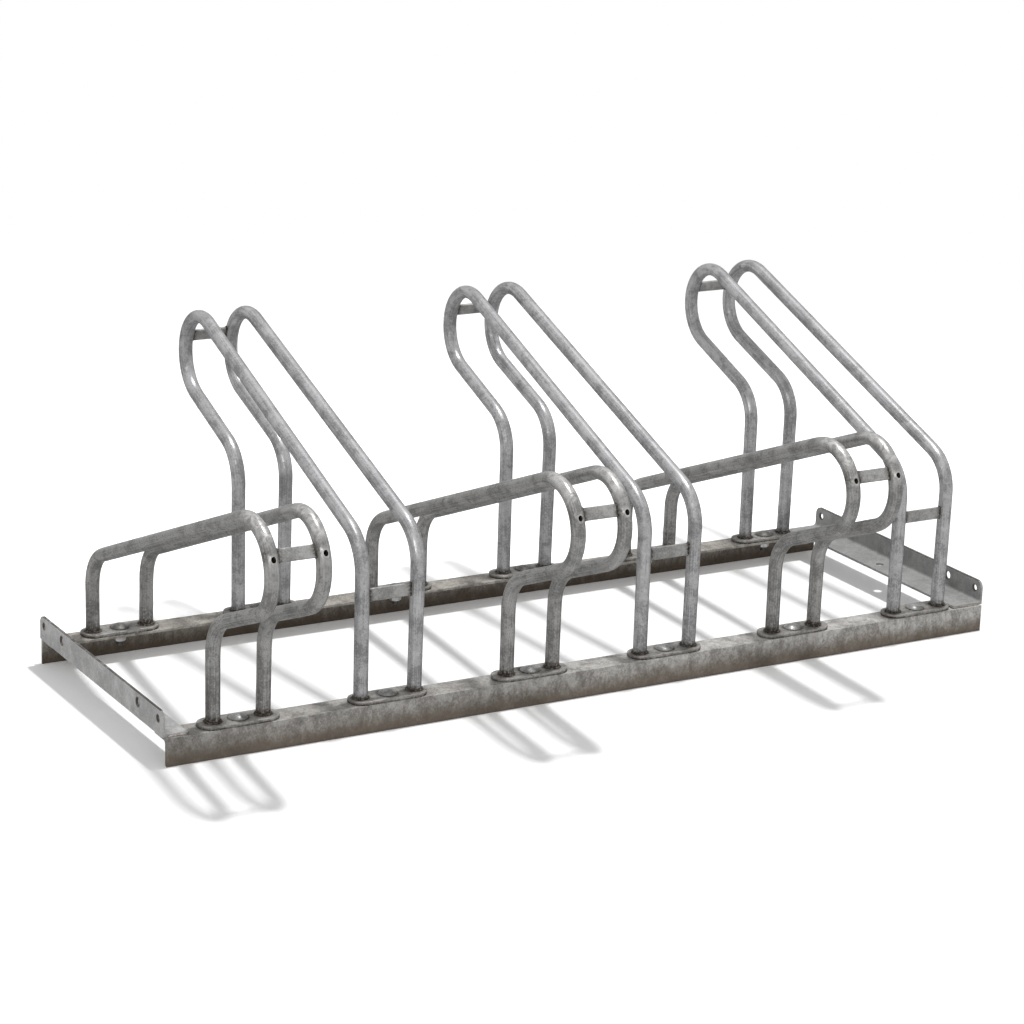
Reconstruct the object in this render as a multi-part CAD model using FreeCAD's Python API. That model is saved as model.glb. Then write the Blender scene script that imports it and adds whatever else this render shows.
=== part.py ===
import FreeCAD, Part
import math
import os

# Floor bike rack, six places.  Two angle rails lie on the floor and carry three low
# and three high wheel hoops, turn about.  Every hoop is a pair of bent tubes welded
# to two foot plates, and each plate is bolted down with one carriage bolt.
#
# Millimetres.  +X runs along the rails, +Y from the front rail to the rear rail, +Z up.
# The origin is on the floor in the middle of the whole rack.

# ---- rails -------------------------------------------------------------------------
hoop_pitch = 250.0
hoop_count = 6
rail_width = 45.0
rail_height = 45.0
rail_thickness = 5.0
rail_root_radius = 6.0
rail_toe_radius = 2.5
row_spacing = 450.0

# ---- end bars ----------------------------------------------------------------------
bar_overhang = 4.0
bar_thickness = 4.0
bar_end_inset = 5.5
bar_root_radius = 6.0
bar_corner_radius = 13.0
left_bar_shelf = 40.0
left_bar_upstand = 40.0
right_bar_shelf = 60.0
right_bar_upstand = 40.0
link_hole_height = 25.0
outer_link_hole_diameter = 11.0
inner_link_hole_diameter = 14.0
inner_link_hole_inset = 75.0
anchor_hole_diameter = 14.0
left_anchor_hole_inset = 20.0
right_anchor_hole_inset = 36.0

# ---- foot plates -------------------------------------------------------------------
plate_length = 132.0
plate_width = 44.0
plate_thickness = 6.0

# ---- carriage bolts and nuts -------------------------------------------------------
bolt_diameter = 12.0
bolt_head_diameter = 30.0
bolt_head_height = 6.9
bolt_head_rim = 1.0
bolt_tail = 8.0
bolt_tip_chamfer = 1.2
nut_across_flats = 18.0
nut_height = 10.8
neck_clearance = 0.3
shank_clearance = 0.5
thread_clearance = 0.05

# ---- hoop tubes --------------------------------------------------------------------
tube_diameter = 22.5
tube_wall = 2.5
bend_radius = 70.0
stem_spacing = 92.0
throat_spacing = 82.0
tube_lean_deg = 0.35

high_slope_deg = 20.4
high_shoulder_height = 295.0
high_overhang = 214.0
low_slope_deg = 21.9
low_shoulder_height = 174.0
low_overhang = 195.0

# ---- crossbars and vent holes ------------------------------------------------------
strip_width = 20.0
strip_thickness = 5.0
front_strip_height = 214.0
high_strip_angle_deg = 20.4
low_strip_angle_deg = 27.0
vent_hole_diameter = 7.0
vent_hole_angle_deg = 22.0

# ---- derived places ----------------------------------------------------------------
rail_length = hoop_count * hoop_pitch
flange_top = rail_height
plate_top = flange_top + plate_thickness
front_row_y = -(row_spacing + high_overhang - low_overhang) / 2.0
rear_row_y = front_row_y + row_spacing
tube_radius = tube_diameter / 2.0
bolt_neck_width = bolt_diameter
drill_margin = 1.0
UP = FreeCAD.Vector(0.0, 0.0, 1.0)


def hoop_x(place):
    """Middle of a hoop along the rails; place counts from 0 at the left."""
    return (place - (hoop_count - 1) / 2.0) * hoop_pitch


def prism(points, travel):
    """Straight-sided closed outline pushed along the vector travel."""
    outline = Part.makePolygon(points + [points[0]])
    return Part.Face(outline).extrude(travel)


def round_edges(solid, radius, chosen):
    """Fillet the straight edges for which chosen(start, end) is true."""
    edges = [e for e in solid.Edges if chosen(e.Vertexes[0].Point, e.Vertexes[-1].Point)]
    return solid.makeFillet(radius, edges)


def near(value, target):
    return abs(value - target) < 1e-6


def drill(radius, x, y, bottom, thickness):
    """Upright cylinder that passes both faces of a plate by the drill margin."""
    start = FreeCAD.Vector(x, y, bottom - drill_margin)
    return Part.makeCylinder(radius, thickness + 2.0 * drill_margin, start, UP)


# ---- rails and end bars ------------------------------------------------------------
def rail(row_y, outward):
    """Angle rail: flat flange on top, the other flange down to the floor outside.

    outward is -1 for the front rail and +1 for the rear rail.
    """
    outer = row_y + outward * rail_width / 2.0
    inner = row_y - outward * rail_width / 2.0
    web = outer - outward * rail_thickness
    under = flange_top - rail_thickness
    section = [(outer, 0.0), (outer, flange_top), (inner, flange_top),
               (inner, under), (web, under), (web, 0.0)]
    x0 = -rail_length / 2.0
    points = [FreeCAD.Vector(x0, y, z) for y, z in section]
    solid = prism(points, FreeCAD.Vector(rail_length, 0.0, 0.0))

    def along_rail(a, b, y, z):
        return all(near(p.y, y) and near(p.z, z) for p in (a, b))

    solid = round_edges(solid, rail_root_radius, lambda a, b: along_rail(a, b, web, under))
    solid = round_edges(solid, rail_toe_radius,
                        lambda a, b: along_rail(a, b, inner, under) or along_rail(a, b, web, 0.0))
    hole_radius = bolt_diameter / 2.0 + shank_clearance
    for place in range(hoop_count):
        solid = solid.cut(drill(hole_radius, hoop_x(place), row_y, under, rail_thickness))
    return solid


def end_bar(side, shelf, upstand, anchor_hole_inset):
    """Angle bar across one end of the rails: shelf on the rails, upstand at the outside.

    It stops a little short of the rails' outer faces.  side is -1 for the left end and
    +1 for the right end.
    """
    outer = side * (rail_length / 2.0 + bar_overhang)
    inner = outer - side * shelf
    web = outer - side * bar_thickness
    shelf_top = flange_top + bar_thickness
    bar_top = flange_top + upstand
    section = [(outer, flange_top), (outer, bar_top), (web, bar_top),
               (web, shelf_top), (inner, shelf_top), (inner, flange_top)]
    y0 = front_row_y - rail_width / 2.0 + bar_end_inset
    length = row_spacing + rail_width - 2.0 * bar_end_inset
    points = [FreeCAD.Vector(x, y0, z) for x, z in section]
    solid = prism(points, FreeCAD.Vector(0.0, length, 0.0))

    def top_corner(a, b):
        across = near(a.y, b.y) and near(a.z, bar_top) and near(b.z, bar_top)
        return across and not near(a.x, b.x)

    def root(a, b):
        return all(near(p.x, web) and near(p.z, shelf_top) for p in (a, b))

    solid = round_edges(solid, bar_root_radius, root)
    solid = round_edges(solid, bar_corner_radius, top_corner)
    for cutter in link_hole_cutters(outer, side):
        solid = solid.cut(cutter)
    middle_y = (front_row_y + rear_row_y) / 2.0
    return solid.cut(drill(anchor_hole_diameter / 2.0, outer - side * anchor_hole_inset,
                           middle_y, flange_top, bar_thickness))


def link_hole_cutters(outer, side):
    """Drills for the four holes in an upstand, where the next rack is bolted on."""
    holes = [(front_row_y, outer_link_hole_diameter),
             (front_row_y + inner_link_hole_inset, inner_link_hole_diameter),
             (rear_row_y - inner_link_hole_inset, inner_link_hole_diameter),
             (rear_row_y, outer_link_hole_diameter)]
    inward = FreeCAD.Vector(-side, 0.0, 0.0)
    length = bar_thickness + 2.0 * drill_margin
    cutters = []
    for y, diameter in holes:
        start = FreeCAD.Vector(outer + side * drill_margin, y, flange_top + link_hole_height)
        cutters.append(Part.makeCylinder(diameter / 2.0, length, start, inward))
    return cutters


# ---- foot plates, bolts and nuts ---------------------------------------------------
def foot_plate(x, row_y):
    """Flat bar with half-round ends and a square hole for the neck of the bolt."""
    end = plate_width / 2.0
    half = plate_length / 2.0 - end

    def at(dx, dy):
        return FreeCAD.Vector(x + dx, row_y + dy, flange_top)

    outline = Part.Wire([
        Part.makeLine(at(-half, -end), at(half, -end)),
        Part.Arc(at(half, -end), at(half + end, 0.0), at(half, end)).toShape(),
        Part.makeLine(at(half, end), at(-half, end)),
        Part.Arc(at(-half, end), at(-half - end, 0.0), at(-half, -end)).toShape()])
    plate = Part.Face(outline).extrude(UP * plate_thickness)
    hole = bolt_neck_width + 2.0 * neck_clearance
    corner = at(-hole / 2.0, -hole / 2.0) - UP * drill_margin
    return plate.cut(Part.makeBox(hole, hole, plate_thickness + 2.0 * drill_margin, corner))


def carriage_bolt(x, row_y):
    """Domed head on the plate, square neck in it, round shank through the flange."""
    edge = bolt_head_diameter / 2.0
    dome_rise = bolt_head_height - bolt_head_rim
    dome_radius = (edge ** 2 + dome_rise ** 2) / (2.0 * dome_rise)
    half_angle = math.asin(edge / dome_radius) / 2.0
    dome_centre = bolt_head_height - dome_radius
    mid = FreeCAD.Vector(dome_radius * math.sin(half_angle), 0.0,
                         dome_centre + dome_radius * math.cos(half_angle))
    rim = FreeCAD.Vector(edge, 0.0, bolt_head_rim)
    top = FreeCAD.Vector(0.0, 0.0, bolt_head_height)
    foot = FreeCAD.Vector(edge, 0.0, 0.0)
    centre = FreeCAD.Vector(0.0, 0.0, 0.0)
    profile = Part.Wire([Part.makeLine(centre, foot), Part.makeLine(foot, rim),
                         Part.Arc(rim, mid, top).toShape(), Part.makeLine(top, centre)])
    head = Part.Face(profile).revolve(centre, UP, 360.0)

    neck = Part.makeBox(bolt_neck_width, bolt_neck_width, plate_thickness,
                        FreeCAD.Vector(-bolt_neck_width / 2.0, -bolt_neck_width / 2.0,
                                       -plate_thickness))
    radius = bolt_diameter / 2.0
    length = plate_thickness + rail_thickness + nut_height + bolt_tail
    shank = Part.makeCylinder(radius, length - bolt_tip_chamfer, centre, -UP)
    tip = Part.makeCone(radius, radius - bolt_tip_chamfer, bolt_tip_chamfer,
                        -UP * (length - bolt_tip_chamfer), -UP)
    bolt = head.fuse([neck, shank, tip]).removeSplitter()
    bolt.translate(FreeCAD.Vector(x, row_y, plate_top))
    return bolt


def hex_nut(x, row_y):
    """Hexagon nut against the underside of the flange, corners turned off."""
    flat = nut_across_flats / 2.0
    corner = flat / math.cos(math.radians(30.0))
    bevel = (corner - flat) * math.tan(math.radians(30.0))
    points = []
    for k in range(6):
        turn = math.radians(60.0 * k)
        points.append(FreeCAD.Vector(corner * math.cos(turn), corner * math.sin(turn), 0.0))
    body = prism(points, UP * nut_height)
    section = [(0.0, 0.0), (flat, 0.0), (corner, bevel), (corner, nut_height - bevel),
               (flat, nut_height), (0.0, nut_height)]
    outline = Part.makePolygon([FreeCAD.Vector(r, 0.0, z) for r, z in section + section[:1]])
    turned = Part.Face(outline).revolve(FreeCAD.Vector(0.0, 0.0, 0.0), UP, 360.0)
    bore = Part.makeCylinder(bolt_diameter / 2.0 + thread_clearance, nut_height)
    nut = body.common(turned).cut(bore)
    nut.translate(FreeCAD.Vector(x, row_y, flange_top - rail_thickness - nut_height))
    return nut


# ---- hoops -------------------------------------------------------------------------
# A hoop tube lies in one plane.  From the foot of its stem it goes up to the shoulder,
# along a straight that climbs at the slope angle past the other row of feet, round a
# half-circle, back along a parallel straight and down the throat to its second foot.
class Hoop:
    def __init__(self, x, toward, slope_deg, shoulder_height, overhang):
        """toward is +1 where the loop hangs over the rear row, -1 over the front row."""
        self.x = x
        self.toward = toward
        self.slope = math.radians(slope_deg)
        self.shoulder = shoulder_height - plate_top
        self.overhang = overhang
        self.stem_y = front_row_y if toward > 0 else rear_row_y
        self.span = math.hypot(row_spacing, (stem_spacing - throat_spacing) / 2.0)

    def loop_centre(self):
        reach = self.span + self.overhang - bend_radius
        rise = self.shoulder + math.tan(self.slope) * reach
        return reach, rise - bend_radius / math.cos(self.slope)

    def plane(self, side):
        """Place of the tube's plane: stem foot, level direction and leaning direction."""
        foot = FreeCAD.Vector(self.x + side * stem_spacing / 2.0, self.stem_y, plate_top)
        throat = FreeCAD.Vector(self.x + side * throat_spacing / 2.0,
                                self.stem_y + self.toward * row_spacing, plate_top)
        level = (throat - foot).normalize()
        outward = level.cross(UP) * (side * self.toward)
        lean = math.radians(tube_lean_deg)
        return foot, level, outward * math.sin(lean) + UP * math.cos(lean)

    def point(self, side, along, height):
        foot, level, leaning = self.plane(side)
        return foot + level * along + leaning * height

    def path(self, side):
        """Centre line of one tube, its ends a little below the tops of the plates."""
        u = (math.cos(self.slope), math.sin(self.slope))
        n = (-u[1], u[0])
        cy, cz = self.loop_centre()
        upper = (cy + bend_radius * n[0], cz + bend_radius * n[1])
        nose = (cy + bend_radius * u[0], cz + bend_radius * u[1])
        lower = (cy - bend_radius * n[0], cz - bend_radius * n[1])
        throat_corner = lower[1] - math.tan(self.slope) * (lower[0] - self.span)
        tangent = bend_radius * math.tan((math.pi / 2.0 - self.slope) / 2.0)

        def bend(corner_along, corner_height):
            """Ends and middle of the arc between an upright and a sloping straight."""
            upright = (corner_along, corner_height - tangent)
            sloping = (corner_along + tangent * u[0], corner_height + tangent * u[1])
            centre = (corner_along + bend_radius, corner_height - tangent)
            turn = math.radians(135.0) + self.slope / 2.0
            middle = (centre[0] + bend_radius * math.cos(turn),
                      centre[1] + bend_radius * math.sin(turn))
            return upright, middle, sloping

        stem = bend(0.0, self.shoulder)
        throat = bend(self.span, throat_corner)
        below = -tube_radius

        def at(spot):
            return self.point(side, spot[0], spot[1])

        return Part.Wire([
            Part.makeLine(at((0.0, below)), at(stem[0])),
            Part.Arc(at(stem[0]), at(stem[1]), at(stem[2])).toShape(),
            Part.makeLine(at(stem[2]), at(upper)),
            Part.Arc(at(upper), at(nose), at(lower)).toShape(),
            Part.makeLine(at(lower), at(throat[2])),
            Part.Arc(at(throat[2]), at(throat[1]), at(throat[0])).toShape(),
            Part.makeLine(at(throat[0]), at((self.span, below)))])

    def rod(self, side, radius):
        """Solid bar of one radius along a tube's centre line, cut level at the plates."""
        path = self.path(side)
        start = path.Vertexes[0].Point
        ring = Part.Wire([Part.makeCircle(radius, start, self.plane(side)[2])])
        bar = path.makePipeShell([ring], True, False)
        width = stem_spacing * 2.0
        depth = row_spacing + tube_diameter * 2.0
        height = tube_diameter * 2.0
        corner = FreeCAD.Vector(self.x - width / 2.0, front_row_y - tube_diameter,
                                plate_top - height)
        return bar.cut(Part.makeBox(width, depth, height, corner))

    def tube(self, side):
        return self.rod(side, tube_radius).cut(self.rod(side, tube_radius - tube_wall))

    def loop_spot(self, angle_deg):
        """Place on the loop's centre line, at an angle above level round its centre."""
        angle = math.radians(angle_deg)
        cy, cz = self.loop_centre()
        return cy + bend_radius * math.cos(angle), cz + bend_radius * math.sin(angle)

    def vent_drill(self, side, angle_deg):
        """Drill into the outside of the loop, from outside to the middle of the tube."""
        spot = self.loop_spot(angle_deg)
        centre = self.loop_centre()
        start = self.point(side, *spot)
        outward = (start - self.point(side, *centre)).normalize()
        return Part.makeCylinder(vent_hole_diameter / 2.0, tube_diameter, start, outward)

    def crossbar(self, along, height, tilt_deg):
        """Flat strip between the tubes, its ends cut to their round outsides."""
        left = self.point(-1, along, height)
        right = self.point(1, along, height)
        length = right.x - left.x
        strip = Part.makeBox(length, strip_thickness, strip_width,
                             FreeCAD.Vector(-length / 2.0, -strip_thickness / 2.0,
                                            -strip_width / 2.0))
        strip.rotate(FreeCAD.Vector(0.0, 0.0, 0.0), FreeCAD.Vector(1.0, 0.0, 0.0),
                     self.toward * tilt_deg)
        strip.translate((left + right) / 2.0)
        return strip.cut([self.rod(-1, tube_radius), self.rod(1, tube_radius)])


def save(shape, node):
    shape.exportStep("parts/" + node + ".step")


def save_hoop(hoop, name, strip_angle_deg):
    """Write the pieces that every hoop has."""
    save(hoop.crossbar(*hoop.loop_spot(strip_angle_deg), strip_angle_deg),
         name + "_loop_crossbar")
    save(foot_plate(hoop.x, front_row_y), name + "_front_foot_plate")
    save(foot_plate(hoop.x, rear_row_y), name + "_rear_foot_plate")


def build_low_hoop(place, name):
    hoop = Hoop(hoop_x(place), -1, low_slope_deg, low_shoulder_height, low_overhang)
    for side, word in ((-1, "left"), (1, "right")):
        drill = hoop.vent_drill(side, vent_hole_angle_deg)
        save(hoop.tube(side).cut(drill), name + "_" + word + "_tube")
    save_hoop(hoop, name, low_strip_angle_deg)


def build_high_hoop(place, name):
    hoop = Hoop(hoop_x(place), 1, high_slope_deg, high_shoulder_height, high_overhang)
    for side, word in ((-1, "left"), (1, "right")):
        save(hoop.tube(side), name + "_" + word + "_tube")
    save_hoop(hoop, name, high_strip_angle_deg)
    save(hoop.crossbar(0.0, front_strip_height - plate_top, 0.0), name + "_stem_crossbar")


def main():
    os.makedirs("parts", exist_ok=True)
    save(rail(front_row_y, -1.0), "front_rail")
    save(rail(rear_row_y, 1.0), "rear_rail")
    save(end_bar(-1.0, left_bar_shelf, left_bar_upstand, left_anchor_hole_inset),
         "left_end_bar")
    save(end_bar(1.0, right_bar_shelf, right_bar_upstand, right_anchor_hole_inset),
         "right_end_bar")
    for place in range(hoop_count):
        number = str(place // 2 + 1)
        if place % 2 == 0:
            build_low_hoop(place, "low_hoop_" + number)
        else:
            build_high_hoop(place, "high_hoop_" + number)
    for row_y, word in ((front_row_y, "front"), (rear_row_y, "rear")):
        places = range(hoop_count)
        bolts = [carriage_bolt(hoop_x(p), row_y) for p in places]
        nuts = [hex_nut(hoop_x(p), row_y) for p in places]
        save(Part.makeCompound(bolts), word + "_carriage_bolts")
        save(Part.makeCompound(nuts), word + "_nuts")


main()
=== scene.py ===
import math

import bmesh
import bpy
import numpy as np
from mathutils import Matrix, Vector


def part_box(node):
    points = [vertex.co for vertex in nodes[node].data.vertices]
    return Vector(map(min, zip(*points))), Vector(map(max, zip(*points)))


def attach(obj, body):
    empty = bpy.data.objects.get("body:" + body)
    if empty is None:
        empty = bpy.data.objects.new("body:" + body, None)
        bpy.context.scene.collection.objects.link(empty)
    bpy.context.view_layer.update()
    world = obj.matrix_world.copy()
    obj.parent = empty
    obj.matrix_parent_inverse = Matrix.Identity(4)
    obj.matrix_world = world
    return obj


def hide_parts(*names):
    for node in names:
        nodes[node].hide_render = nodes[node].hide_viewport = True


# Floor bike rack of weathered hot-dip galvanised steel.  Metres, in the frame of the
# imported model: +X along the rails, +Y from the front rail to the rear rail, +Z up.

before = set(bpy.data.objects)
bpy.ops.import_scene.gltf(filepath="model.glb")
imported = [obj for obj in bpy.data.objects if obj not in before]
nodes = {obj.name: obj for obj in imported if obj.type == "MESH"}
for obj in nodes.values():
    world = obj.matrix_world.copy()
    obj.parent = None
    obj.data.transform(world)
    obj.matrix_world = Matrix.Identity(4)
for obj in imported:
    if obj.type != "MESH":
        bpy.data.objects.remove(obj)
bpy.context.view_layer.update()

HOOP_NAMES = [kind + "_hoop_" + str(number) for number in (1, 2, 3) for kind in ("low", "high")]
UP = np.array([0.0, 0.0, 1.0])
FULL_TURN = 2.0 * math.pi

# ---- sizes of the drawn pieces -----------------------------------------------------
TUBE_RADIUS = 0.01125
BEND_RADIUS = 0.070
STEM_SPACING = 0.092
THROAT_SPACING = 0.082
LEAN = math.radians(0.35)
SLOPE = {"low": math.radians(21.9), "high": math.radians(20.4)}
SHOULDER_HEIGHT = {"low": 0.174, "high": 0.295}
OVERHANG = {"low": 0.195, "high": 0.214}
STRIP_ANGLE = {"low": math.radians(27.0), "high": math.radians(20.4)}
STRIP_WIDTH = 0.020
STRIP_THICKNESS = 0.005
STRIP_EDGE = 0.0013
VENT_ANGLE = math.radians(22.0)
VENT_RADIUS = 0.0040
PLATE_EDGE = 0.0012
RAIL_THICKNESS = 0.005
RAIL_ROOT = 0.006
RAIL_TOE = 0.0025
BAR_EDGE = 0.0009
BAR_TOP = 0.085
LINK_MIDDLE = -0.0095          # halfway between the rails' upright faces
LINK_HEIGHT = 0.070
LINK_HOLES = ((0.225, 0.0055), (0.150, 0.0070))     # each way from the middle, radius
BOLT_RADIUS = 0.006
BOLT_HEAD_RADIUS = 0.015
BOLT_HEAD_HEIGHT = 0.0069
BOLT_HEAD_RIM = 0.001
THREAD_PITCH = 0.00175
THREAD_DEPTH = 0.00085
PLAIN_SHANK = 0.012
NUT_FLAT = 0.009
FOOT_BEAD, STRIP_BEAD, SHELF_BEAD, FACE_BEAD = 0.0021, 0.0014, 0.0018, 0.0022
BEAD_RIPPLE = 0.0022

# ---- how finely they are drawn -----------------------------------------------------
LINE_STEP = 0.001
RING_SPACING = 0.0055
TUBE_SIDES = 36
BEND_BLEND = 12                # steps each way over which a bend's flattening fades
LUMPS = 26                     # zinc lumps on each tube
VENT_BORE = ((0.0170, 1.0), (0.0026, 1.0), (0.0012, 1.0), (0.0004, 0.6))     # depth, darkening: painted shade down the bore
VENT_RINGS = ((0.0, 1.0), (0.06, 1.0), (0.14, 1.0), (0.26, 0.4), (0.42, 0.0), (0.65, 0.0),
              (1.0, 0.0))      # part of the way out, brightness: a painted highlight round the rim
HEAD_SIDES, THREAD_SIDES, NUT_SIDES, BEAD_SIDES = 44, 24, 72, 10
FOOT_BEAD_STEPS, STRIP_BEAD_STEPS, BAR_BEAD_STEPS = 72, 60, 40
FLOOR_RINGS, FLOOR_SIDES = (0.6, 1.2, 2.0, 3.0, 4.0, 6.0), 64


# ---- meshes ------------------------------------------------------------------------
def grid_quads(rows, columns, close_rows=False, close_columns=False):
    """Quads of a grid of points numbered row by row, as an (n, 4) array.

    A closed direction joins its last line of points to its first.
    """
    r = np.arange(rows if close_rows else rows - 1)[:, None]
    c = np.arange(columns if close_columns else columns - 1)[None, :]
    r2 = (r + 1) % rows
    c2 = (c + 1) % columns
    corners = [r * columns + c, r * columns + c2, r2 * columns + c2, r2 * columns + c]
    return np.stack([np.broadcast_to(k, (r.size, c.size)) for k in corners], -1).reshape(-1, 4)


def capped(rows, columns):
    """Faces of a skin that closes round itself, with one face over each open end."""
    end = np.arange(columns)[None]
    return [grid_quads(rows, columns, close_columns=True), end, end + (rows - 1) * columns]


def fan(count, centre):
    """Triangles from a closed ring, the first count points, to one centre point."""
    ring = np.arange(count)
    return np.stack([ring, np.roll(ring, -1), np.full(count, centre)], -1)


def whole_turn(sides):
    """Ways round, in even steps."""
    return np.linspace(0.0, FULL_TURN, sides, endpoint=False)


def turned(centre, radius, turn, height):
    """Points about an upright line: its x plus the radius times the cosine of the way round,
    its y plus the radius times the sine."""
    return np.stack(np.broadcast_arrays(centre[0] + radius * np.cos(turn),
                                        centre[1] + radius * np.sin(turn), height), -1)


def hang(name, mesh, material, replaced, sharp):
    """Makes a mesh's object, gives it its finish and hangs it on the rack's one body."""
    mesh.shade_smooth()
    mesh.set_sharp_from_angle(angle=math.radians(sharp))
    mesh.materials.append(material)
    made = bpy.data.objects.new(name, mesh)
    bpy.context.scene.collection.objects.link(made)
    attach(made, "root")
    if replaced:
        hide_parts(*replaced)
    return made


class Surface:
    """Collects patches of points and faces that become one mesh."""

    def __init__(self):
        self.points, self.faces, self.grime, self.bright, self.uv = [], [], [], [], []
        self.count = 0

    def add(self, points, faces, grime=0.0, uv=None, bright=0.0):
        """Adds an (n, 3) array of points with faces that number them from 0."""
        points = np.asarray(points, float).reshape(-1, 3)
        self.points.append(points)
        for group in faces:
            self.faces.extend((np.asarray(group) + self.count).tolist())
        for kept, values in ((self.grime, grime), (self.bright, bright)):
            kept.append(np.broadcast_to(np.asarray(values, float).reshape(-1), (len(points),)))
        self.uv.append(np.zeros((len(points), 2)) if uv is None else np.asarray(uv).reshape(-1, 2))
        self.count += len(points)

    def piece(self, name, material, slot, replaced=()):
        """Makes one mesh of the patches, with their dirt and painted shade and their brightness,
        partly painted highlight, and hangs it.
        """
        mesh = bpy.data.meshes.new(name)
        mesh.from_pydata(np.concatenate(self.points).tolist(), [], self.faces)
        build = bmesh.new()
        build.from_mesh(mesh)
        bmesh.ops.recalc_face_normals(build, faces=build.faces)
        build.to_mesh(mesh)
        build.free()
        for word, values in (("grime", self.grime), ("bright", self.bright)):
            attribute = mesh.attributes.new(word, "FLOAT", "POINT")
            attribute.data.foreach_set("value", np.concatenate(values).astype(np.float32))
        layer = mesh.uv_layers.new(name="along")
        corner = np.zeros(len(mesh.loops), np.int32)
        mesh.loops.foreach_get("vertex_index", corner)
        layer.data.foreach_set("uv", np.concatenate(self.uv)[corner].astype(np.float32).ravel())
        hang(name, mesh, material, replaced, sharp=35.0)


def wobble(values, seed, longest):
    """Smooth unevenness, mostly from -1 to 1: a sum of four sines of random phase.

    Each is shorter and weaker than the one before.
    """
    rng = np.random.default_rng(seed)
    total = np.zeros_like(values)
    for k in range(4):
        length = longest / (1.0 + 1.7 * k)
        total = total + np.sin(FULL_TURN * (values / length + rng.random())) / (1.0 + 0.6 * k)
    return total / 2.5


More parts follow.
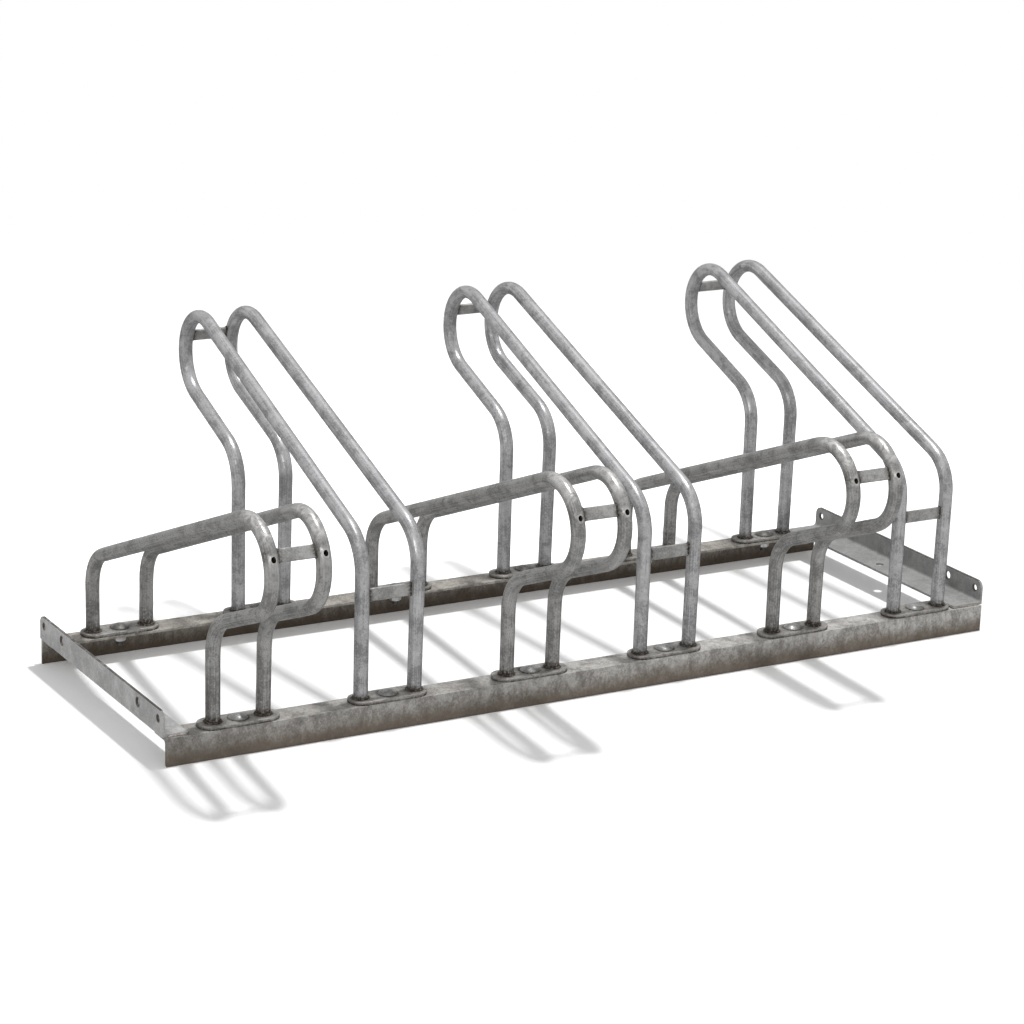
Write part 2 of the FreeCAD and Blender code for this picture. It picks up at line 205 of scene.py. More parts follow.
# ---- hoops -------------------------------------------------------------------------
class Hoop:
    """One wheel hoop: where its tubes, strips and welds go.

    A tube lies in one plane that leans a little outwards.  In that plane it runs up its
    stem, bends to a straight at the slope angle, goes round a half-circle, comes back on
    a parallel straight and bends down its throat.  The feet come from the CAD plates.
    """

    def __init__(self, name):
        self.name = name
        self.kind = name.split("_")[0]
        front_low, front_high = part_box(name + "_front_foot_plate")
        rear_low, rear_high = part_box(name + "_rear_foot_plate")
        front = (front_low + front_high) / 2.0
        rear = (rear_low + rear_high) / 2.0
        self.x = front.x
        self.base = front_high.z
        self.stem_y, self.throat_y = (rear.y, front.y) if self.kind == "low" else (front.y, rear.y)
        self.slope = SLOPE[self.kind]
        self.shoulder = SHOULDER_HEIGHT[self.kind] - self.base
        self.span = math.hypot(self.throat_y - self.stem_y, (STEM_SPACING - THROAT_SPACING) / 2.0)
        reach = self.span + OVERHANG[self.kind] - BEND_RADIUS
        rise = self.shoulder + math.tan(self.slope) * reach
        self.loop = np.array([reach, rise - BEND_RADIUS / math.cos(self.slope)])

    def plane(self, side):
        """Stem foot, level direction, leaning direction and outward side of a tube's plane."""
        foot = np.array([self.x + side * STEM_SPACING / 2.0, self.stem_y, self.base])
        throat = np.array([self.x + side * THROAT_SPACING / 2.0, self.throat_y, self.base])
        level = (throat - foot) / np.linalg.norm(throat - foot)
        outward = np.cross(level, UP)
        outward = outward * np.sign(outward[0]) * side
        return foot, level, outward * math.sin(LEAN) + UP * math.cos(LEAN), outward

    def place(self, side, flat):
        """Points of the plane, given as (along, height), in the rack's frame."""
        foot, level, leaning, _ = self.plane(side)
        flat = np.asarray(flat)
        return foot + flat[..., :1] * level + flat[..., 1:] * leaning

    def centre_line(self):
        """Centre line in the plane as closely spaced points, with its length and its bends.

        Straights are straight mixes of their ends.  An arc is its centre plus the radius
        times the cosine and sine of an angle that runs evenly from start to end.
        """
        slope = self.slope
        along = np.array([math.cos(slope), math.sin(slope)])
        across = np.array([-along[1], along[0]])
        upper = self.loop + BEND_RADIUS * across
        lower = self.loop - BEND_RADIUS * across
        stem_corner = np.array([0.0, self.shoulder])
        throat_corner = np.array([self.span, lower[1] - math.tan(slope) * (lower[0] - self.span)])
        cut = BEND_RADIUS * math.tan((math.pi / 2.0 - slope) / 2.0)
        drop = np.array([0.0, cut])
        to_centre = np.array([BEND_RADIUS, -cut])
        quarter = math.pi / 2.0 + slope
        parts = [
            ("straight", np.array([0.0, 0.0]), stem_corner - drop),
            ("arc", stem_corner + to_centre, math.pi, quarter),
            ("straight", stem_corner + cut * along, upper),
            ("arc", self.loop, quarter, quarter - math.pi),
            ("straight", lower, throat_corner + cut * along),
            ("arc", throat_corner + to_centre, quarter, math.pi),
            ("straight", throat_corner - drop, np.array([self.span, 0.0])),
        ]
        points, bends = [], []
        for kind, first, second, *rest in parts:
            if kind == "straight":
                count = max(2, int(np.linalg.norm(second - first) / LINE_STEP))
                t = np.linspace(0.0, 1.0, count, endpoint=False)[:, None]
                points.append(first + (second - first) * t)
            else:
                count = max(2, int(abs(rest[0] - second) * BEND_RADIUS / LINE_STEP))
                angle = np.linspace(second, rest[0], count, endpoint=False)
                points.append(first + BEND_RADIUS * np.stack([np.cos(angle), np.sin(angle)], -1))
            bends.append(np.full(count, float(kind == "arc")))
        points = np.concatenate(points + [np.array([[self.span, 0.0]])])
        length = np.cumsum(np.linalg.norm(np.diff(points, axis=0), axis=1))
        return points, np.concatenate([[0.0], length]), np.concatenate(bends + [np.zeros(1)])

    def loop_spot(self, angle):
        """Place on the loop's centre line at an angle above level."""
        return self.loop + BEND_RADIUS * np.array([math.cos(angle), math.sin(angle)])

    def strips(self):
        """(node, place in the plane, tilt) of every flat crossbar."""
        angle = STRIP_ANGLE[self.kind]
        found = [(self.name + "_loop_crossbar", self.loop_spot(angle), angle)]
        if self.kind == "high":
            low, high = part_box(self.name + "_stem_crossbar")
            height = (low.z + high.z) / 2.0 - self.base
            found.append((self.name + "_stem_crossbar", np.array([0.0, height]), 0.0))
        return found

    def strip_section(self, tilt, edge):
        """Outline of a crossbar, and the directions of its thickness and its width."""
        way = np.sign(self.throat_y - self.stem_y)
        out = np.array([0.0, way * math.cos(tilt), math.sin(tilt)])
        up = np.array([0.0, -way * math.sin(tilt), math.cos(tilt)])
        w, t = STRIP_WIDTH / 2.0, STRIP_THICKNESS / 2.0
        return rounded_outline([(-t, -w), (t, -w), (t, w), (-t, w)], [edge] * 4, 5), out, up


class TubeSkin:
    """Outer skin of one hoop tube as a function of length along it and way round it."""

    def __init__(self, hoop, side, seed):
        self.hoop, self.side, self.seed = hoop, side, seed
        self.flat, self.length, bends = hoop.centre_line()
        self.total = self.length[-1]
        self.centre = hoop.place(side, self.flat)
        run = np.gradient(self.flat, self.length, axis=0)
        run = run / np.linalg.norm(run, axis=1, keepdims=True)
        _, level, leaning, self.binormal = hoop.plane(side)
        self.up_side = -run[:, 1:] * level + run[:, :1] * leaning
        kernel = np.hanning(2 * BEND_BLEND + 1)
        self.bend = np.convolve(np.pad(bends, BEND_BLEND, mode="edge"), kernel / kernel.sum(),
                                mode="valid")
        rng = np.random.default_rng(seed)
        self.lumps = np.stack([rng.uniform(0.03, self.total - 0.03, LUMPS),
                               rng.uniform(-math.pi, math.pi, LUMPS),
                               rng.uniform(0.0012, 0.0034, LUMPS),
                               rng.uniform(0.00010, 0.00042, LUMPS)], -1)

    def radius(self, along, turn):
        """Radius of the skin: round, a little flattened in bends, with zinc lumps.

        Flattening: in a bend the radius is 4 % less in the plane of the bend and 3 % more
        across it, so it goes with the cosine of twice the way round.  Each lump adds
        its rise times e to the minus squared distance over squared size.
        """
        bend = np.interp(along, self.length, self.bend)
        radius = TUBE_RADIUS * (1.0 + bend * (-0.005 - 0.035 * np.cos(2.0 * turn)))
        radius = radius + 0.00004 * wobble(along + 0.02 * np.sin(turn), self.seed, 0.09)
        for at, angle, size, rise in self.lumps:
            around = (turn - angle + math.pi) % FULL_TURN - math.pi
            square = (along - at) ** 2 / 4.0 + (around * TUBE_RADIUS) ** 2
            radius = radius + rise * np.exp(-square / size ** 2)
        return radius

    def point(self, along, turn, rise=0.0):
        """Place on the skin: centre line plus radius towards the way round."""
        along, turn = np.broadcast_arrays(along, turn)

        def at(line):
            return np.stack([np.interp(along, self.length, line[:, k]) for k in range(3)], -1)

        ray = np.cos(turn)[..., None] * at(self.up_side) + np.sin(turn)[..., None] * self.binormal
        return at(self.centre) + ray * (self.radius(along, turn) + rise)[..., None]

    def grime(self, along, turn):
        """Dirt and burnt zinc: strongest at the two feet and beside the crossbar welds, with
        painted shade in the darkening of the legs near the floor, most on the low hoops.
        """
        low = self.hoop.kind == "low"
        foot = np.minimum(along, self.total - along)
        # The slow fall-off from each foot darkens the legs near the floor: on the low hoops it is
        # mostly painted shade, not dirt; the sharp ring right at the foot is dirt.
        foot_dirt_and_shade = 0.48 if low else 0.28
        dirt = 0.60 * np.exp(-(foot / 0.006) ** 1.5) + foot_dirt_and_shade * np.exp(-foot / 0.09)
        skin = self.point(along, turn)
        for _, spot, _ in self.hoop.strips():
            centre = self.hoop.place(self.side, spot)
            joint = centre - self.side * TUBE_RADIUS * self.binormal
            away = np.linalg.norm(skin - joint, axis=-1)
            dirt = dirt + 0.42 * np.exp(-(away / 0.010) ** 2)
            if low:
                away = np.linalg.norm(skin - centre, axis=-1)
                dirt = dirt + 0.20 * np.exp(-(np.maximum(away - 0.012, 0.0) / 0.012) ** 2)
        return np.clip(dirt, 0.0, 1.0)

    def bright(self, along, turn):
        """Stretched, smoother zinc on the outside of a low loop, above its crossbar.  It is made
        glossier, and lighter in colour as a painted highlight.

        The angle round the loop fades it in after the top straight and cuts it off
        short of the weld; the cosine of the way round keeps it on the outside.
        """
        if self.hoop.kind != "low":
            return np.zeros_like(along)
        away = self.flat - self.hoop.loop
        angle = np.where(away[:, 0] > -BEND_RADIUS, np.arctan2(away[:, 1], away[:, 0]), math.pi)
        angle = np.interp(along, self.length, angle)
        start, end = math.pi / 2.0 + self.hoop.slope, STRIP_ANGLE["low"] + 0.17
        rise = np.clip((start - angle) / 0.35, 0.0, 1.0)
        fall = np.clip((angle - end) / 0.10, 0.0, 1.0)
        return rise * fall * np.clip(0.35 + np.cos(turn), 0.0, 1.0)

    def build(self):
        """Rings of points along the tube, both ends closed, and a low tube's vent hole."""
        rows = int(self.total / RING_SPACING) + 1
        along = np.linspace(0.0, self.total, rows)
        turn = np.linspace(-math.pi, math.pi, TUBE_SIDES, endpoint=False)
        a, t = np.meshgrid(along, turn, indexing="ij")
        points = self.point(a, t)
        quads = grid_quads(rows, TUBE_SIDES, close_columns=True)
        hole = self.vent(along, turn) if self.hoop.kind == "low" else None
        if hole:
            quads = np.delete(quads, hole["quads"], axis=0)
        surface = Surface()
        surface.add(points, [quads], self.grime(a, t), np.stack([a, t * TUBE_RADIUS], -1),
                    self.bright(a, t))
        for ring in (points[0], points[-1]):
            disc = np.concatenate([ring, ring.mean(0, keepdims=True)])
            surface.add(disc, [fan(TUBE_SIDES, TUBE_SIDES)], 1.0)
        if hole:
            self.add_vent(surface, hole)
        return surface

    def vent(self, along, turn):
        """Block of quads taken out round the vent hole, and the ring of points round it."""
        away = np.linalg.norm(self.flat - self.hoop.loop_spot(VENT_ANGLE), axis=1)
        at = self.length[np.argmin(away)]
        row = int(np.argmin(abs(along - at)))
        column = int(np.argmin(abs(turn)))
        rows = np.arange(row - 2, row + 2)
        columns = np.arange(column - 4, column + 4)
        removed = (rows[:, None] * turn.size + columns[None, :]).ravel()
        edge = [(rows[0], c) for c in columns]
        edge += [(r, columns[-1] + 1) for r in rows]
        edge += [(rows[-1] + 1, c) for c in columns[::-1] + 1]
        edge += [(r + 1, columns[0]) for r in rows[::-1]]
        ring = np.array([(along[r], turn[c] * TUBE_RADIUS) for r, c in edge])
        return {"quads": removed, "ring": ring, "centre": np.array([at, 0.0])}

    def add_vent(self, surface, hole):
        """Vent hole: from the ring of skin points in to a raised rim, then down a straight bore.
        The bore is darkened with painted shade and round the rim it is lightened with a painted
        highlight.

        Each ray runs from the hole's centre to a point of the ring.  Along it the place is
        a straight mix of the rim circle and the ring, raised near the rim by a smooth swell.
        """
        offset = hole["ring"] - hole["centre"]
        angle = np.arctan2(offset[:, 1], offset[:, 0])
        count = angle.size
        circle = VENT_RADIUS * np.stack([np.cos(angle), np.sin(angle)], -1)
        depth, dirt = np.array(VENT_BORE).T
        step, light = np.array(VENT_RINGS).T
        flat = hole["centre"] + circle + (offset - circle) * step[:, None, None]
        away = np.linalg.norm(flat - hole["centre"], axis=-1)
        swell = 0.00045 * np.exp(-((away - VENT_RADIUS * 1.25) / 0.0011) ** 2)
        skin = self.point(flat[..., 0], flat[..., 1] / TUBE_RADIUS, swell)
        at, turn = hole["centre"]
        outward = self.point(at, turn, 0.001) - self.point(at, turn)
        outward = outward / np.linalg.norm(outward)
        rows = np.concatenate([skin[0] - depth[:, None, None] * outward, skin])
        points = np.concatenate([rows.reshape(-1, 3), rows[0].mean(0, keepdims=True)])
        # Painted shade down the bore and a painted highlight round the rim.
        dirt = np.append(np.repeat(np.append(dirt, np.zeros(step.size)), count), 1.0)
        light = np.append(np.repeat(np.append(np.zeros(depth.size), light), count), 0.0)
        faces = [grid_quads(len(rows), count, close_columns=True), fan(count, count * len(rows))]
        surface.add(points, faces, dirt, bright=light)


# ---- flat pieces -------------------------------------------------------------------
def rounded_outline(corners, radii, steps):
    """Points of a closed outline with rounded corners.

    At each corner an arc of the given radius touches both sides: its centre lies on the
    line that halves the corner, the radius over the sine of the half angle away from it.
    """
    corners = np.asarray(corners, float)
    points = []
    for k, radius in enumerate(radii):
        here = corners[k]
        before = corners[k - 1] - here
        after = corners[(k + 1) % len(corners)] - here
        before, after = before / np.linalg.norm(before), after / np.linalg.norm(after)
        half = math.acos(np.clip(before @ after, -1.0, 1.0)) / 2.0
        middle = (before + after) / np.linalg.norm(before + after)
        centre = here + middle * radius / math.sin(half)
        start = here + before * radius / math.tan(half) - centre
        end = here + after * radius / math.tan(half) - centre
        first = math.atan2(start[1], start[0])
        sweep = (math.atan2(end[1], end[0]) - first + math.pi) % FULL_TURN - math.pi
        angle = first + sweep * np.linspace(0.0, 1.0, steps)
        points.append(centre + radius * np.stack([np.cos(angle), np.sin(angle)], -1))
    return np.concatenate(points)


def long_bar(outline, start, end, axis_x, axis_y, every, grime, chamfer):
    """Bar of one outline carried straight from start to end, its ends slightly rounded.

    The outline's two coordinates run along axis_x and axis_y.  The first and last rings
    are drawn in towards the outline's middle by the chamfer.
    """
    start, end = np.asarray(start, float), np.asarray(end, float)
    length = np.linalg.norm(end - start)
    direction = (end - start) / length
    inner = np.linspace(chamfer, length - chamfer, max(2, int(length / every)))
    along = np.concatenate([[0.0], inner, [length]])
    shrink = np.zeros(along.size)
    shrink[[0, -1]] = chamfer
    away = outline - outline.mean(0)
    away = away / np.linalg.norm(away, axis=1, keepdims=True)
    flat = outline[None] - away[None] * shrink[:, None, None]
    place = (start + along[:, None, None] * direction
             + flat[..., :1] * np.asarray(axis_x) + flat[..., 1:] * np.asarray(axis_y))
    around = np.concatenate([[0.0], np.cumsum(np.linalg.norm(np.diff(outline, axis=0), axis=1))])
    uv = np.stack(np.broadcast_arrays(along[:, None], around[None]), -1)
    surface = Surface()
    surface.add(place, capped(along.size, len(outline)), grime(place), uv)
    return surface


def strip_surface(hoop, spot, tilt):
    """Flat crossbar between the tubes of a hoop, with rounded long edges."""
    left, right = hoop.place(-1, spot), hoop.place(1, spot)
    inset = [TUBE_RADIUS - 0.0022, 0.0, 0.0]
    outline, out, up = hoop.strip_section(tilt, STRIP_EDGE)

    def dirt(place):
        near = np.minimum(place[..., 0] - left[0], right[0] - place[..., 0]) - TUBE_RADIUS
        return np.clip(0.9 * np.exp(-np.maximum(near, 0.0) / 0.006), 0.0, 1.0)

    return long_bar(outline, left + inset, right - inset, out, up, 0.003, dirt, 0.0001)


def foot_plate_surface(node, feet):
    """Foot plate: every point of a straight middle line carried out to a worn round edge.

    Round the plate the middle line's nearest point moves along the straight sides and
    stays still round the ends.  Outwards the height is flat, then falls over an edge
    radius, goes down the side and comes back underneath.
    """
    low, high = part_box(node)
    centre = (low + high) / 2.0
    end = (high.y - low.y) / 2.0
    half = (high.x - low.x) / 2.0 - end
    quarter = math.pi / 2.0
    side = np.linspace(-half, half, 24)
    bow = np.linspace(-quarter, quarter, 22)[1:-1]
    base_x = np.concatenate([side, np.full(bow.size, half), side[::-1], np.full(bow.size, -half)])
    angle = np.concatenate([np.full(side.size, -quarter), bow,
                            np.full(side.size, quarter), bow + math.pi])
    fall = np.linspace(0.0, quarter, 6)
    edge = PLATE_EDGE
    flat = end - edge
    top, bottom = high.z, low.z
    out = np.concatenate([np.linspace(0.0, flat, 12), (flat + edge * np.sin(fall))[1:],
                          [end], (flat + edge * np.cos(fall))[1:], [0.0]])
    z = np.concatenate([np.full(12, top), (top - edge + edge * np.cos(fall))[1:],
                        [bottom + edge], (bottom + edge - edge * np.sin(fall))[1:], [bottom]])
    x = centre.x + base_x[:, None] + out[None] * np.cos(angle)[:, None]
    y = centre.y + out[None] * np.sin(angle)[:, None]
    z = np.broadcast_to(z, x.shape)
    away = np.full(x.shape, 1.0)
    for foot in feet:
        away = np.minimum(away, np.hypot(x - foot[0], y - foot[1]) - TUBE_RADIUS)
    bolt = np.hypot(x - centre.x, y - centre.y) - BOLT_HEAD_RADIUS
    dirt = 0.95 * np.exp(-np.maximum(away, 0.0) / 0.006)
    # Painted shade on the plate round each bolt head.
    dirt = dirt + 0.8 * np.exp(-(np.maximum(bolt, 0.0) / 0.003) ** 1.3)
    # The plate's sides and underside are darker than its top.
    dirt = dirt + np.where(z < top - 0.002, 0.55, 0.0)
    surface = Surface()
    surface.add(np.stack([x, y, z], -1), [grid_quads(*x.shape, close_rows=True)],
                np.clip(dirt, 0.0, 1.0))
    return surface


def rail_surface(node, outward):
    """Angle rail along X with rounded toes and root; its dirt thins out upwards."""
    low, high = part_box(node)
    outer, inner = (low.y, high.y) if outward < 0 else (high.y, low.y)
    web, under = outer - outward * RAIL_THICKNESS, high.z - RAIL_THICKNESS
    corners = [(outer, low.z), (outer, high.z), (inner, high.z),
               (inner, under), (web, under), (web, low.z)]
    outline = rounded_outline(corners, [0.0008, 0.0010, 0.0008, RAIL_TOE, RAIL_ROOT, RAIL_TOE], 6)

    def dirt(place):
        return np.clip(0.75 - place[..., 2] / 0.020, 0.0, 1.0) * 0.6

    return long_bar(outline, (low.x, 0.0, 0.0), (high.x, 0.0, 0.0), (0.0, 1.0, 0.0),
                    (0.0, 0.0, 1.0), 0.012, dirt, 0.0006)


def worn_copy(node, material):
    """Copy of a CAD piece with its points merged and its edges worn round."""
    build = bmesh.new()
    build.from_mesh(nodes[node].data)
    bmesh.ops.remove_doubles(build, verts=build.verts, dist=1e-6)
    bmesh.ops.dissolve_limit(build, angle_limit=math.radians(2.0), verts=build.verts,
                             edges=build.edges)
    mesh = bpy.data.meshes.new(node + "_worn")
    build.to_mesh(mesh)
    build.free()
    made = hang(node + "_worn", mesh, material, [node], sharp=30.0)
    bevel = made.modifiers.new("worn edges", "BEVEL")
    bevel.width = BAR_EDGE
    bevel.segments = 2
    bevel.limit_method = "ANGLE"
    bevel.angle_limit = math.radians(35.0)
    bevel.harden_normals = True


# ---- fasteners ---------------------------------------------------------------------
def add_bolt(surface, x, y, seat, low_end):
    """Carriage bolt: domed head on the plate, plain shank, threaded end under the nut.

    The dome is a sphere cap: its radius is half the sum of squared edge and rise over the
    rise.  The thread is the shank's radius less a groove that goes round once per pitch.
    """
    rise = BOLT_HEAD_HEIGHT - BOLT_HEAD_RIM
    edge = BOLT_HEAD_RADIUS - 0.0004
    ball = (edge ** 2 + rise ** 2) / (2.0 * rise)
    r = edge * np.sin(np.linspace(0.0, math.pi / 2.0, 14))
    cap = np.stack([r, BOLT_HEAD_HEIGHT - ball + np.sqrt(ball ** 2 - r ** 2)], -1)[::-1]
    rim = np.array([(0.0, 0.0), (BOLT_HEAD_RADIUS - 0.0006, 0.0), (BOLT_HEAD_RADIUS, 0.0003),
                    (BOLT_HEAD_RADIUS, 0.0007)])
    profile = np.concatenate([rim, cap])
    # Painted shade on the head, darkest where it sits on the plate.
    dirt = np.clip(1.0 - profile[:, 1] / 0.0022, 0.0, 1.0) * 0.8
    head = turned((x, y), profile[:, :1], whole_turn(HEAD_SIDES), seat + profile[:, 1:])
    surface.add(head, [grid_quads(len(profile), HEAD_SIDES, close_columns=True)],
                np.repeat(dirt, HEAD_SIDES))
    turn = whole_turn(THREAD_SIDES)[None]
    z = np.arange(low_end, seat, THREAD_PITCH / 5.0)[:, None]
    phase = (z / THREAD_PITCH - turn / FULL_TURN) % 1.0
    groove = THREAD_DEPTH * np.abs(2.0 * phase - 1.0) ** 0.8
    threaded = np.clip((seat - PLAIN_SHANK - z) / 0.002, 0.0, 1.0)
    taper = np.clip((z - low_end) / 0.0012, 0.0, 1.0)
    radius = (BOLT_RADIUS - groove * threaded) * (0.82 + 0.18 * taper)
    shank = turned((x, y), radius, turn, z).reshape(-1, 3)
    surface.add(np.concatenate([shank, [[x, y, low_end]]]),
                [grid_quads(z.size, THREAD_SIDES, close_columns=True),
                 fan(THREAD_SIDES, len(shank))], 0.15)


def add_nut(surface, x, y, low, high):
    """Hexagon nut: at each angle the flat's distance over the cosine of the angle from its
    middle, cut back near the faces by a cone of thirty degrees, with a bore through it."""
    turn = whole_turn(NUT_SIDES)[None]
    from_flat = (turn + math.pi / 6.0) % (math.pi / 3.0) - math.pi / 6.0
    hexagon = NUT_FLAT / np.cos(from_flat)
    z = np.array([0.0, 0.0, 0.0004, 0.0008, 0.0013])[:, None]
    z = np.concatenate([z, (high - low) - z[::-1]])
    cone = NUT_FLAT * 0.97 + np.minimum(z, (high - low) - z) / math.tan(math.radians(30.0))
    radius = np.minimum(hexagon, cone)
    radius[[0, -1]] = BOLT_RADIUS
    surface.add(turned((x, y), radius, turn, low + z),
                [grid_quads(z.size, NUT_SIDES, close_rows=True, close_columns=True)], 0.25)


# ---- welds -------------------------------------------------------------------------
def add_bead(surface, path, radius, closed, seed, grime):
    """Weld bead: a round of uneven size carried along a path.

    Its radius swells and shrinks once per ripple and slowly wanders.  An open bead thins
    out at its ends with the square root of the distance to them.
    """
    path = np.asarray(path, float)
    along = np.concatenate([[0.0], np.cumsum(np.linalg.norm(np.diff(path, axis=0), axis=1))])
    run = np.roll(path, -1, 0) - np.roll(path, 1, 0) if closed else np.gradient(path, axis=0)
    run = run / np.linalg.norm(run, axis=1, keepdims=True)
    side = np.cross(run, UP)
    flat = np.linalg.norm(side, axis=1, keepdims=True)
    side = np.where(flat > 1e-3, side / np.maximum(flat, 1e-9), [1.0, 0.0, 0.0])
    lift = np.cross(side, run)
    swell = 0.10 * np.abs(np.sin(np.pi * along / BEAD_RIPPLE))
    ripple = 1.0 + swell + 0.16 * wobble(along, seed, 0.03)
    faces = [grid_quads(len(path), BEAD_SIDES, close_rows=True, close_columns=True)]
    if not closed:
        faces = capped(len(path), BEAD_SIDES)
        ends = np.minimum(along, along[-1] - along)
        ripple = ripple * np.sqrt(np.clip(ends / (radius * 1.2), 0.02, 1.0))
    turn = whole_turn(BEAD_SIDES)[None, :, None]
    ray = np.cos(turn) * side[:, None] + np.sin(turn) * lift[:, None]
    surface.add(path[:, None] + ray * (radius * ripple)[:, None, None], faces, grime)


def hoop_welds(hoop, seed):
    """Beads round the feet of both tubes and round the ends of the crossbars."""
    surface = Surface()
    for side in (-1, 1):
        for along in (0.0, hoop.span):
            foot = hoop.place(side, np.array([along, 0.0]))
            ring = turned(foot, TUBE_RADIUS + 0.0006, whole_turn(FOOT_BEAD_STEPS),
                          foot[2] + 0.0005)
            seed += 1
            add_bead(surface, ring, FOOT_BEAD, True, seed, 0.85)
        for _, spot, tilt in hoop.strips():
            joint = hoop.place(side, spot) - [side * (TUBE_RADIUS + 0.0002), 0.0, 0.0]
            outline, out, up = hoop.strip_section(tilt, 0.002)
            fine = np.linspace(0.0, len(outline), STRIP_BEAD_STEPS, endpoint=False)
            ring = np.stack([np.interp(fine, np.arange(len(outline) + 1),
                                       np.append(line, line[0])) for line in outline.T], -1)
            seed += 1
            add_bead(surface, joint + ring[:, :1] * out + ring[:, 1:] * up, STRIP_BEAD, True,
                     seed, 0.75)
    return surface


def end_bar_welds(node, side, seed):
    """Beads where an end bar's shelf is welded to both rails: across the top of each rail
    under the shelf's inner edge, and along each rail's top at the bar's own end."""
    surface = Surface()
    low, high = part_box(node)
    rail_low, rail_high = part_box("front_rail")
    inner = low.x if side > 0 else high.x
    rail_end = rail_high.x if side > 0 else rail_low.x
    seat = rail_high.z
    for rail, end in (("front_rail", low.y), ("rear_rail", high.y)):
        near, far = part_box(rail)
        y = np.linspace(near.y + 0.003, far.y - 0.003, BAR_BEAD_STEPS)
        x = np.linspace(rail_end - side * 0.003, inner + side * 0.001, BAR_BEAD_STEPS)
        ledge = np.stack(np.broadcast_arrays(inner - side * 0.0004, y, seat + 0.0010), -1)
        face = np.stack(np.broadcast_arrays(x, end, seat + 0.0006), -1)
        for path, radius, grime in ((ledge, SHELF_BEAD, 0.45), (face, FACE_BEAD, 0.1)):
            seed += 1
            add_bead(surface, path, radius, False, seed, grime)
    return surface


# ---- finishes ----------------------------------------------------------------------
# Dark colours for dirt; the first two are also laid on as painted shade.
DIRT_AND_SHADE = (0.050, 0.040, 0.031)
BOLT_DIRT_AND_SHADE = (0.040, 0.033, 0.027)
# Dark zinc round the link holes and along the end bars' top edges.
DARK_RIM = (0.060, 0.050, 0.043)


def shade(colour, factor, most=1.0):
    """Colour made darker or lighter."""
    return tuple(min(most, part * factor) for part in colour)


class Wiring:
    """Short ways to lay out shader nodes.  Most of them return the new node's output."""

    def __init__(self, tree):
        self.tree = tree

    def give(self, socket, value):
        """Links an input to another node's output, or sets its value."""
        if isinstance(value, bpy.types.NodeSocket):
            self.tree.links.new(value, socket)
        else:
            socket.default_value = value

    def node(self, kind, inputs=(), **settings):
        """Makes a node and returns the node itself."""
        made = self.tree.nodes.new(kind)
        for key, value in settings.items():
            setattr(made, key, value)
        for key, value in dict(inputs).items():
            self.give(made.inputs[key], value)
        return made

    def maths(self, operation, a, b=0.0):
        return self.node("ShaderNodeMath", {0: a, 1: b}, operation=operation).outputs[0]

    def times(self, a, b):
        return self.maths("MULTIPLY", a, b)

    def add(self, total, *values):
        """Sum of any number of values."""
        for value in values:
            total = self.maths("ADD", total, value)
        return total

    def vector(self, operation, inputs, output=0):
        return self.node("ShaderNodeVectorMath", inputs, operation=operation).outputs[output]

    def part(self, vector, axis):
        return self.node("ShaderNodeSeparateXYZ", {"Vector": vector}).outputs[axis]

    def fade(self, value, start, end, low=0.0, high=1.0):
        """Smooth step from low to high while value goes from start to end."""
        made = self.node("ShaderNodeMapRange", {
            "Value": value, "From Min": start, "From Max": end, "To Min": low, "To Max": high},
            interpolation_type="SMOOTHSTEP")
        return made.outputs["Result"]

    def mix(self, factor, a, b):
        """Colour between a and b."""
        made = self.node("ShaderNodeMix", {"Factor": factor}, data_type="RGBA")
        for socket, value in ((made.inputs[6], a), (made.inputs[7], b)):
            self.give(socket, (*value, 1.0) if isinstance(value, tuple) else value)
        return made.outputs[2]


class Finish(Wiring):
    """A material, its shader and the patterns that it is made of."""

    def __init__(self, name):
        self.material = bpy.data.materials.new(name)
        self.material.use_nodes = True
        super().__init__(self.material.node_tree)
        self.shader = self.tree.nodes["Principled BSDF"]
        coordinates = self.node("ShaderNodeTexCoord")
        self.place = coordinates.outputs["Object"]
        self.uv = coordinates.outputs["UV"]

    def scaled(self, scale, at=None):
        """Coordinates stretched by three factors."""
        made = self.node("ShaderNodeMapping", {"Vector": at or self.place, "Scale": scale})
        return made.outputs["Vector"]

    def noise(self, scale, detail, roughness, distortion=0.0, at=None):
        made = self.node("ShaderNodeTexNoise", {
            "Vector": at or self.place, "Scale": scale, "Detail": detail,
            "Roughness": roughness, "Distortion": distortion})
        return made.outputs["Fac"]

    def warped(self, amount, scale, at):
        """Coordinates pushed about by a noise, so that patterns lose their regular edges."""
        push = self.node("ShaderNodeTexNoise", {"Vector": at, "Scale": scale, "Detail": 2.0})
        centred = self.vector("SUBTRACT", {0: push.outputs["Color"], 1: (0.5, 0.5, 0.5)})
        small = self.vector("SCALE", {0: centred, "Scale": amount})
        return self.vector("ADD", {0: at, 1: small})

    def crystals(self, scale, at):
        """One random value for each cell of a Voronoi pattern, as zinc crystals have."""
        cells = self.node("ShaderNodeTexVoronoi", {"Vector": at, "Scale": scale})
        split = self.node("ShaderNodeSeparateColor", {"Color": cells.outputs["Color"]})
        return split.outputs[0]

    def attribute(self, name):
        return self.node("ShaderNodeAttribute", attribute_name=name).outputs["Fac"]

    def bump(self, height, strength, distance):
        """Fine relief on the shader; returns nothing."""
        made = self.node("ShaderNodeBump", {"Height": height, "Strength": strength,
                                            "Distance": distance})
        self.set(Normal=made.outputs["Normal"])

    def set(self, **sockets):
        """Gives the shader values or sockets, named with _ for a space; returns the material."""
        for key, value in sockets.items():
            self.give(self.shader.inputs[key.replace("_", " ")], value)
        return self.material


